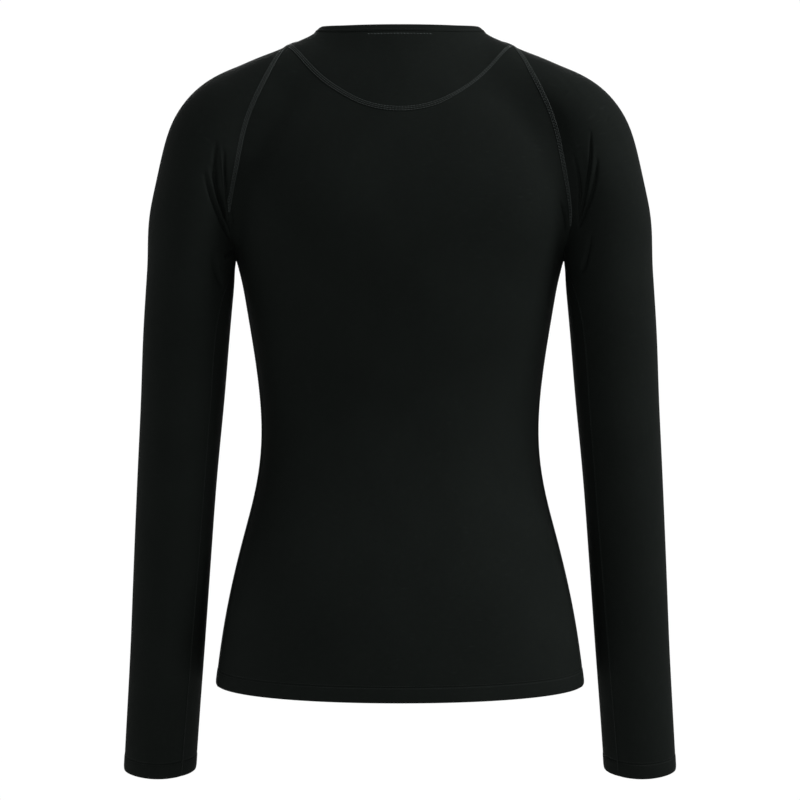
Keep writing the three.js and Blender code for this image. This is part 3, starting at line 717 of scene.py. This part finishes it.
def turn_up(name, work, height, turning):
    """Shapes the turned-up hem or cuff: its folded edge, its second layer inside and the line of its stitches."""
    above = work.verts.layers.float.new("above_edge")
    for vert in work.verts:
        vert[above] = vert.co.z - float(height(np.array(vert.co)))
    stitch_line = turning / MM
    for line in TURNING_LINES[:2]:
        cut_along(work, above, line * MM)
    for line in TURNING_LINES[2:]:
        cut_along(work, above, (stitch_line + line) * MM)
    work.normal_update()
    moves = []
    for vert in work.verts:
        rise = vert[above] / MM
        marks = {face.material_index for face in vert.link_faces}
        if rise > stitch_line + 6 or rise < 0.5 or FACE_EDGE in marks:
            continue
        sink = STITCH_SINK * math.exp(-(((rise - stitch_line) / STITCH_SINK_WIDTH) ** 2))
        if FACE_OUTSIDE in marks:
            bulge = TURNING_BULGE * min(1, rise / 3) if rise < stitch_line else 0
            moves.append((vert, vert.normal * (bulge - sink) * MM))
        else:
            second = TURNING_CLOTH if rise < stitch_line + 0.7 else 0
            moves.append((vert, vert.normal * (second + sink) * MM))
    for vert, move in moves:
        vert.co += move
    folded = [edge for edge in work.edges if max(vert[above] for vert in edge.verts) < 0.6 * MM
              and sorted(face.material_index for face in edge.link_faces) in
              ([FACE_OUTSIDE, FACE_EDGE], [FACE_INSIDE, FACE_EDGE])]
    bmesh.ops.bevel(work, geom=folded, offset=EDGE_ROUNDING * MM, segments=2, profile=0.6, affect="EDGES",
                    material=FACE_EDGE, clamp_overlap=True)


def write_cloth_places(mesh, axis_points, radius):
    """Stores where each point lies on the cloth: round the centre line and along it, in metres."""
    spots, lengths = along(axis_points, 4 * MM)
    tangents = np.gradient(spots, axis=0)
    tangents /= np.linalg.norm(tangents, axis=1)[:, None]
    backward = np.array((0.0, 1.0, 0.0)) - tangents * tangents[:, 1:2]
    backward /= np.linalg.norm(backward, axis=1)[:, None]
    sideways = np.cross(tangents, backward)
    places = np.zeros(len(mesh.vertices) * 3)
    mesh.vertices.foreach_get("co", places)
    places = places.reshape(-1, 3)
    tree = KDTree(len(spots))
    for index, spot in enumerate(spots):
        tree.insert(spot, index)
    tree.balance()
    nearest = np.array([tree.find(place)[1] for place in places])
    offset = places - spots[nearest]
    turn = np.arctan2((offset * sideways[nearest]).sum(1), (offset * backward[nearest]).sum(1))
    rise = lengths[nearest] + (offset * tangents[nearest]).sum(1)
    stored = np.stack([turn * radius, rise, np.zeros(len(rise))], 1).astype(np.float32)
    layer = mesh.attributes.new("cloth_place", "FLOAT_VECTOR", "POINT")
    layer.data.foreach_set("vector", stored.ravel())


def finish_panel(name, work, materials, radius):
    """Turns a worked mesh into the piece that stands for its node."""
    mesh = bpy.data.meshes.new(name + "_knit")
    for face in work.faces:
        face.smooth = True
    for edge in work.edges:
        marks = {face.material_index for face in edge.link_faces}
        edge.smooth = len(marks) < 2
    work.to_mesh(mesh)
    write_cloth_places(mesh, axis_of(name), radius)
    for material in materials:
        mesh.materials.append(material)
    piece = new_piece(name + "_knit", mesh)
    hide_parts(name)
    return piece


# Meshes of the finished panels, their outside edges and the heights of the hem and cuffs, kept for sewing
sewn = {}
edge_loops = {}
edge_heights = {}


def make_panels(names, settings, radius):
    """Smooths, folds and finishes several panels together."""
    works = {name: smoothed(marked_panel(name), settings.smoothing) for name in names}
    for work in works.values():
        arch_back_neck(work)
    surface = outside_surface(works.values())
    refine_near_folds(works.values(), surface)
    press_folds(works.values(), surface, settings.fold_strength)
    for name in names:
        edge_loops[name] = even_steps(edge_loop(works[name]), MM, True)
    for opening in OPENINGS:
        here = [name for name in opening.panels if name in works]
        if here:
            height = edge_height(opening, [works[name] for name in here])
            edge_heights[opening.name] = height
            for name in here:
                turn_up(name, works[name], height, settings.turning)
    face = jersey_material(names[0] + "_merino_jersey", settings.knit_colour)
    for name in names:
        finish_panel(name, works[name], [face, face, face], radius)
        sewn[name] = works[name]


class BASELAYER_OT_body_panels(bpy.types.Operator):
    """Front, back and half-moon yoke of jersey"""

    bl_idname = "base_layer.body_panels"
    bl_label = "Body panels"

    def execute(self, context):
        make_panels(BODY_PANELS, context.scene.base_layer_cloth, BODY_GIRTH_RADIUS)
        return {"FINISHED"}


class BASELAYER_OT_sleeves(bpy.types.Operator):
    """Raglan sleeves of jersey"""

    bl_idname = "base_layer.sleeves"
    bl_label = "Sleeves"

    def execute(self, context):
        make_panels(SLEEVES, context.scene.base_layer_cloth, SLEEVE_GIRTH_RADIUS)
        return {"FINISHED"}


BINDING_CLOTH = 0.7 * MM
# How far the folded binding reaches down over the panels' edges, and out from them at its lower edges
BINDING_LAP = 1.5 * MM
BINDING_LIFT = 0.12 * MM


class BASELAYER_OT_neck_binding(bpy.types.Operator):
    """Strip of jersey folded over the neckline"""

    bl_idname = "base_layer.neck_binding"
    bl_label = "Neck binding"

    def execute(self, context):
        settings = context.scene.base_layer_cloth
        work = welded_patches(frame["nodes"][BINDING])
        groups = regions(work, BINDING_ANGLE)
        if len(groups) != 3:
            raise RuntimeError("the neck binding hasn't an outer, an inner and a lower side")
        bmesh.ops.delete(work, geom=groups[2], context="FACES")
        self.lengthen(work)
        work = smoothed(work, settings.smoothing)
        arch_back_neck(work)
        mesh = bpy.data.meshes.new("neck_binding_knit")
        for face in work.faces:
            face.smooth = True
        work.to_mesh(mesh)
        work.normal_update()
        sewn[BINDING] = work
        piece = new_piece("neck_binding_knit", mesh)
        wall = piece.modifiers.new("cloth", "SOLIDIFY")
        wall.thickness = BINDING_CLOTH
        wall.offset = -1
        bpy.context.view_layer.update()
        evaluated = piece.evaluated_get(bpy.context.evaluated_depsgraph_get())
        piece.data = bpy.data.meshes.new_from_object(evaluated)
        piece.modifiers.clear()
        write_cloth_places(piece.data, BODY_AXIS, BODY_GIRTH_RADIUS)
        piece.data.materials.append(jersey_material("neck_binding_merino_jersey", settings.binding_colour))
        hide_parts(BINDING)
        return {"FINISHED"}

    @staticmethod
    def lengthen(work):
        """Carries both lower edges of the folded strip on down over the panels."""
        work.normal_update()
        moves = {}
        for vert in work.verts:
            if not vert.is_boundary:
                continue
            above = next(edge.other_vert(vert) for edge in vert.link_edges if not edge.is_boundary)
            down = (vert.co - above.co).normalized()
            moves[vert.co.copy().freeze()] = down * BINDING_LAP + vert.normal * BINDING_LIFT
        ends = [edge for edge in work.edges if edge.is_boundary]
        made = bmesh.ops.extrude_edge_only(work, edges=ends)["geom"]
        for vert in made:
            if isinstance(vert, bmesh.types.BMVert):
                vert.co += moves[vert.co.copy().freeze()]


def shared_edge(seam):
    """Places along the line where a seam joins two panels' edges, from the underarm or hem up."""
    own = edge_loops[seam.panel]
    spans = [edge_loops[name] for name in seam.meets]
    other = np.vstack(spans)
    gaps = np.linalg.norm(own[:, None, :] - other[None, :, :], axis=2)
    if seam.meets == (seam.panel,):
        apart = np.abs(np.subtract.outer(np.arange(len(own)), np.arange(len(own))))
        gaps[np.minimum(apart, len(own) - apart) < OWN_EDGE_APART] = 1.0
    near = gaps.min(1) < SEWN_REACH * MM
    if seam.side:
        near &= own[:, 0] * seam.side > 0
    middle = (own + other[gaps.argmin(1)]) / 2
    best = []
    run = []
    for index in list(range(len(own))) * 2:
        if near[index] and len(run) < len(own):
            run.append(index)
            best = run if len(run) > len(best) else best
        else:
            run = []
    line = middle[best]
    return line if line[0, 2] < line[-1, 2] else line[::-1]


def eased(line, reach):
    """A line with its small steps smoothed away and its ends kept."""
    padded = np.vstack([2 * line[0] - line[reach:0:-1], line, 2 * line[-1] - line[-2:-reach - 2:-1]])
    share = np.hanning(2 * reach + 3)[1:-1]
    share /= share.sum()
    return np.stack([np.convolve(padded[:, k], share, "valid") for k in range(3)], 1)


class SewingLine:
    """A line on the cloth that stitches are placed along and across."""

    def __init__(self, line, surface, step, closed=False):
        self.surface = surface
        self.closed = closed
        self.points = even_steps(line, step, closed)
        self.count = len(self.points)
        normals = np.array([surface.find_nearest(Vector(spot))[1] for spot in self.points])
        if closed:
            wrapped = np.vstack([normals[-4:], normals, normals[:4]])
            self.normals = eased(wrapped, 4)[4:-4]
            ahead = np.roll(self.points, -1, 0) - np.roll(self.points, 1, 0)
        else:
            self.normals = eased(normals, 4)
            ahead = np.gradient(self.points, axis=0)
        self.normals /= np.linalg.norm(self.normals, axis=1)[:, None]
        self.aside = np.cross(self.normals, ahead)
        self.aside /= np.linalg.norm(self.aside, axis=1)[:, None]

    def width(self, steps, profile):
        """Share of its full width that the seam has some steps along the line."""
        return profile(self.points[min(max(int(steps), 0), self.count - 1)])

    def at(self, steps, across, height):
        """Place above the cloth some steps along the line and some way across it, with its outward direction."""
        if self.closed:
            steps %= self.count
        low = min(int(steps), self.count - 1)
        high = (low + 1) % self.count if self.closed else min(low + 1, self.count - 1)
        share = steps - low
        spot = Vector(self.points[low] * (1 - share) + self.points[high] * share)
        normal = Vector(self.normals[low] * (1 - share) + self.normals[high] * share).normalized()
        if abs(across) > 0.2 * MM:
            aside = Vector(self.aside[low] * (1 - share) + self.aside[high] * share)
            spot = self.surface.find_nearest(spot + aside * across)[0]
        return spot + normal * height, normal


def full_width(place):
    """Share of its width that an even seam has everywhere."""
    return 1.0


def raglan_width(place):
    """Share of its width that a raglan seam has at a place. It draws in where it turns under the arm."""
    if abs(place[0]) < UNDERARM_ACROSS * MM:
        return 1.0
    low = UNDERARM_LOW[1 if place[0] > 0 else -1]
    return UNDERARM_SHARE + (1 - UNDERARM_SHARE) * ramp(place[2] / MM, low, low + UNDERARM_RUN)


def yoke_seam_width(place):
    """Share of its width that the yoke seam has at a place."""
    return 1 - (1 - YOKE_SEAM_SHARE) * ramp(-place[0] / MM, *YOKE_SEAM_THINS)


# A seam narrower than this share of its width has turned under, and its threads are out of sight
THREADS_FROM = 0.45
# Shares of a stitch's length, and how far it has dipped there in radii of its thread
STITCH_ARCH = ((0, 2.6), (0.14, 0.4), (0.5, 0), (0.86, 0.4), (1, 2.6))


class Threads:
    """Gathers the points and faces of many lengths of thread."""

    SIDES = 5

    def __init__(self):
        self.points = []
        self.faces = []

    def add(self, path, radius, closed=False):
        """One length of thread along a path of places with outward directions."""
        base = len(self.points)
        count = len(path)
        for index, (spot, normal) in enumerate(path):
            before = path[index - 1 if closed else max(index - 1, 0)][0]
            after = path[(index + 1) % count if closed else min(index + 1, count - 1)][0]
            ahead = (after - before).normalized()
            side = ahead.cross(normal).normalized()
            up = side.cross(ahead)
            for turn in range(self.SIDES):
                angle = math.tau * (turn + 0.5) / self.SIDES
                self.points.append(spot + (side * math.sin(angle) + up * math.cos(angle)) * radius)
        for index in range(count if closed else count - 1):
            here = base + index * self.SIDES
            there = base + (index + 1) % count * self.SIDES
            for turn in range(self.SIDES):
                beside = (turn + 1) % self.SIDES
                self.faces.append((here + turn, here + beside, there + beside, there + turn))
        if not closed:
            self.faces.append(tuple(base + turn for turn in reversed(range(self.SIDES))))
            last = base + (count - 1) * self.SIDES
            self.faces.append(tuple(last + turn for turn in range(self.SIDES)))

    def stitches(self, line, across, height, radius, steps_each, share=0.84, profile=full_width):
        """A row of short stitches that dip into the cloth at both ends."""
        total = line.count if line.closed else line.count - 1
        count = int(total / steps_each)
        for index in range(count):
            start = (index + (1 - share) / 2) * steps_each
            length = steps_each * share
            size = line.width(start, profile)
            if size < THREADS_FROM:
                continue
            self.add([
                line.at(start + length * reach, across * size, height * size - radius * dip)
                for reach, dip in STITCH_ARCH
            ], radius)

    def piece(self, name, material):
        mesh = bpy.data.meshes.new(name)
        mesh.from_pydata([tuple(point) for point in self.points], [], self.faces)
        mesh.materials.append(material)
        mesh.shade_smooth()
        return new_piece(name, mesh)


SEAM_STEPS_EACH = 2


def seam_bed(line, half, profile):
    """The raised band of a seam, where the two edges lap under the threads, tucked in along both sides."""
    points = []
    for index in range(line.count):
        end = index in (0, line.count - 1)
        size = line.width(index, profile)
        for share, height in SEAM_SECTION:
            rise = height * size if height > 0 else height
            points.append(line.at(index, share * half * size, (min(rise, 0.05) if end else rise) * MM)[0])
    width = len(SEAM_SECTION)
    faces = []
    for index in range(line.count - 1):
        here = index * width
        for step in range(width - 1):
            faces.append((here + step, here + width + step, here + width + step + 1, here + step + 1))
    mesh = bpy.data.meshes.new("seam_bed")
    mesh.from_pydata([tuple(point) for point in points], [], faces)
    mesh.shade_smooth()
    return mesh


# How the width of the seams that aren't even runs
SEAM_PROFILES = {
    "back_raglan_left": raglan_width,
    "back_raglan_right": raglan_width,
    "front_raglan_left": raglan_width,
    "front_raglan_right": raglan_width,
    "yoke_seam": yoke_seam_width,
}


class BASELAYER_OT_seams(bpy.types.Operator):
    """Flatlock seams: raglans, yoke, sides and sleeves"""

    bl_idname = "base_layer.seams"
    bl_label = "Flatlock seams"

    def execute(self, context):
        cloth = context.scene.base_layer_cloth
        settings = context.scene.base_layer_stitches
        surface = outside_surface(sewn[name] for name in BODY_PANELS + SLEEVES)
        lapped = jersey_material("lapped_jersey_edges", cloth.knit_colour)
        thread = thread_material("spun_polyester_seam_thread", settings.thread_colour)
        dark_thread = thread_material("spun_polyester_side_thread", settings.dark_thread_colour, 0.06)
        for seam in SEAMS:
            path = eased(shared_edge(seam), 4)
            line = SewingLine(path, surface, settings.pitch / SEAM_STEPS_EACH)
            half = settings.flatlock_width / 2 * seam.width
            profile = SEAM_PROFILES.get(seam.name, full_width)
            mesh = seam_bed(line, half, profile)
            write_cloth_places(mesh, BODY_AXIS, BODY_GIRTH_RADIUS)
            mesh.materials.append(lapped)
            new_piece(seam.name + "_bed", mesh)
            threads = Threads()
            for row in range(seam.rows):
                across = half * (2 * row / (seam.rows - 1) - 1) * 0.92 if seam.rows > 1 else 0.0
                threads.stitches(line, across, NEEDLE_HEIGHT * MM, settings.thread / 2, SEAM_STEPS_EACH,
                                 profile=profile)
            if seam.rows == 2:
                zigzag = []
                for index in range(line.count):
                    side = 1 if index % 2 else -1
                    for lean in (0.75, -0.15):
                        steps = index + (0.0 if lean > 0 else 0.45)
                        size = line.width(steps, profile)
                        if steps < line.count - 1 and size >= THREADS_FROM:
                            zigzag.append(line.at(steps, side * half * lean * size, LOOPER_HEIGHT * MM * size))
                threads.add(zigzag, settings.thread / 2)
            threads.piece(seam.name + "_thread", thread if seam.rows > 1 else dark_thread)
        return {"FINISHED"}


class BASELAYER_OT_turning_stitches(bpy.types.Operator):
    """Coverstitching of the hem and cuffs, and the row behind the neck"""

    bl_idname = "base_layer.turning_stitches"
    bl_label = "Hem, cuff and label stitches"

    ROWS = (-1.0, 1.2)
    TURN_STEPS = 720

    def execute(self, context):
        cloth = context.scene.base_layer_cloth
        settings = context.scene.base_layer_stitches
        thread = thread_material("spun_polyester_hem_thread", settings.dark_thread_colour, 0.06)
        for opening in OPENINGS:
            surface = outside_surface(sewn[name] for name in opening.panels)
            threads = Threads()
            for row in self.ROWS:
                ring = self.ring(opening, surface, cloth.turning + row * MM)
                line = SewingLine(ring, surface, settings.pitch / 2, closed=True)
                threads.stitches(line, 0.0, 0.06 * MM, settings.thread * 0.4, 2)
            threads.piece(opening.name + "_thread", thread)
        surface = outside_surface([sewn[BINDING]])
        line = SewingLine(self.neckline(surface), surface, settings.pitch / 2, closed=True)
        threads = Threads()
        threads.stitches(line, BINDING_ROW * MM, 0.14 * MM, settings.thread / 2, 2)
        threads.piece("neck_binding_thread", thread)
        surface = outside_surface([sewn["back_yoke"]])
        (start, rise), (stop, _) = LABEL_ROW
        row = [surface.ray_cast(Vector((start + (stop - start) * share, 200, rise)) * MM, Vector((0, -1, 0)))[0]
               for share in np.linspace(0, 1, 40)]
        line = SewingLine(np.array([spot for spot in row if spot]), surface, LABEL_STITCH / 2 * MM)
        threads = Threads()
        threads.stitches(line, 0.0, 0.2 * MM, settings.thread * 0.6, 2, 0.16)
        label_thread = thread_material("spun_polyester_label_thread", settings.label_thread_colour)
        threads.piece("label_row_thread", label_thread)
        return {"FINISHED"}

    @staticmethod
    def neckline(surface):
        """Places in order round the panels' upper edges, just under the binding."""
        rims = np.vstack(list(edge_loops.values()))
        under = np.array([spot for spot in rims if surface.find_nearest(Vector(spot))[3] < NECK_REACH * MM])
        bearing = np.arctan2(under[:, 1] - NECK_MIDDLE[1] * MM, under[:, 0] - NECK_MIDDLE[0] * MM)
        ordered = under[np.argsort(bearing)]
        wrapped = np.vstack([ordered[-6:], ordered, ordered[:6]])
        return even_steps(eased(wrapped, 6)[6:-6], 3 * MM, True)

    def ring(self, opening, surface, rise):
        """Places all round a hem or cuff at one height above its edge."""
        middle = Vector((*opening.middle, 0)) * MM
        found = []
        for step in range(self.TURN_STEPS):
            turn = math.tau * step / self.TURN_STEPS
            out = Vector((math.cos(turn), math.sin(turn), 0))
            start = middle + out * opening.radius * MM
            start.z = float(edge_heights[opening.name](np.array(start))) + rise
            hit = surface.ray_cast(start, -out)[0]
            if hit is not None:
                found.append(hit)
        return np.array(found)


class BASELAYER_OT_studio(bpy.types.Operator):
    """Pale floor, soft light and the camera at the photograph's angle"""

    bl_idname = "base_layer.studio"
    bl_label = "Studio"

    def execute(self, context):
        settings = context.scene.base_layer_studio
        mesh = bpy.data.meshes.new("floor")
        work = bmesh.new()
        bmesh.ops.create_circle(work, cap_ends=True, segments=96, radius=FLOOR_RADIUS)
        work.to_mesh(mesh)
        work.free()
        floor = bpy.data.objects.new("floor", mesh)
        floor.location = (0, 0, FLOOR_HEIGHT)
        floor.data.materials.append(floor_material(settings.floor_colour))
        context.scene.collection.objects.link(floor)
        world = bpy.data.worlds.new("white_room")
        world.use_nodes = True
        background = world.node_tree.nodes["Background"]
        background.inputs["Color"].default_value = (1, 1, 1, 1)
        background.inputs["Strength"].default_value = 1.01
        context.scene.world = world
        self.add_light(context, "key", (-2.7, 0.95, 2.9), 1.4, settings.key_power)
        self.add_light(context, "side", (2.7, -0.2, 0.7), 1.2, settings.side_power)
        self.add_light(context, "fill", (0.1, -2.9, 0.9), 1.6, settings.fill_power)
        lens = bpy.data.cameras.new("camera")
        lens.sensor_width = SENSOR_WIDTH
        lens.lens = SENSOR_WIDTH * CAMERA_DISTANCE / FRAME_WIDTH
        lens.clip_end = 100
        camera = bpy.data.objects.new("camera", lens)
        camera.location = (0, CAMERA_DISTANCE, HORIZON)
        camera.rotation_euler = (math.pi / 2, 0, math.pi)
        context.scene.collection.objects.link(camera)
        context.scene.camera = camera
        context.scene.view_settings.view_transform = "Standard"
        return {"FINISHED"}

    @staticmethod
    def add_light(context, name, place, size, power):
        """One square soft light that looks at the middle of the garment."""
        data = bpy.data.lights.new(name, "AREA")
        data.shape = "SQUARE"
        data.size = size
        data.energy = power
        light = bpy.data.objects.new(name, data)
        light.location = place
        towards = Vector((0, 0, HORIZON)) - Vector(place)
        light.rotation_euler = towards.to_track_quat("-Z", "Y").to_euler()
        context.scene.collection.objects.link(light)


class BASELAYER_PT_panel(bpy.types.Panel):
    """Lists the pieces of the top and their settings"""

    bl_label = "Base Layer Top"
    bl_idname = "BASELAYER_PT_panel"
    bl_space_type = "VIEW_3D"
    bl_region_type = "UI"
    bl_category = "Base Layer"

    def draw(self, context):
        for group in (context.scene.base_layer_cloth, context.scene.base_layer_stitches,
                      context.scene.base_layer_studio):
            box = self.layout.box()
            for name in group.__annotations__:
                box.prop(group, name)
        for operator in OPERATORS:
            self.layout.operator(operator.bl_idname)


SETTINGS = {
    "base_layer_cloth": ClothSettings,
    "base_layer_stitches": StitchSettings,
    "base_layer_studio": StudioSettings,
}
OPERATORS = (
    BASELAYER_OT_body_panels,
    BASELAYER_OT_sleeves,
    BASELAYER_OT_neck_binding,
    BASELAYER_OT_seams,
    BASELAYER_OT_turning_stitches,
    BASELAYER_OT_studio,
)


def register():
    for made in (*SETTINGS.values(), *OPERATORS, BASELAYER_PT_panel):
        bpy.utils.register_class(made)
    for name, group in SETTINGS.items():
        setattr(bpy.types.Scene, name, bpy.props.PointerProperty(type=group))


def unregister():
    for name in SETTINGS:
        delattr(bpy.types.Scene, name)
    for made in reversed((*SETTINGS.values(), *OPERATORS, BASELAYER_PT_panel)):
        bpy.utils.unregister_class(made)


def main():
    register()
    for operator in OPERATORS:
        group, name = operator.bl_idname.split(".")
        getattr(getattr(bpy.ops, group), name)()


if __name__ == "__main__":
    main()
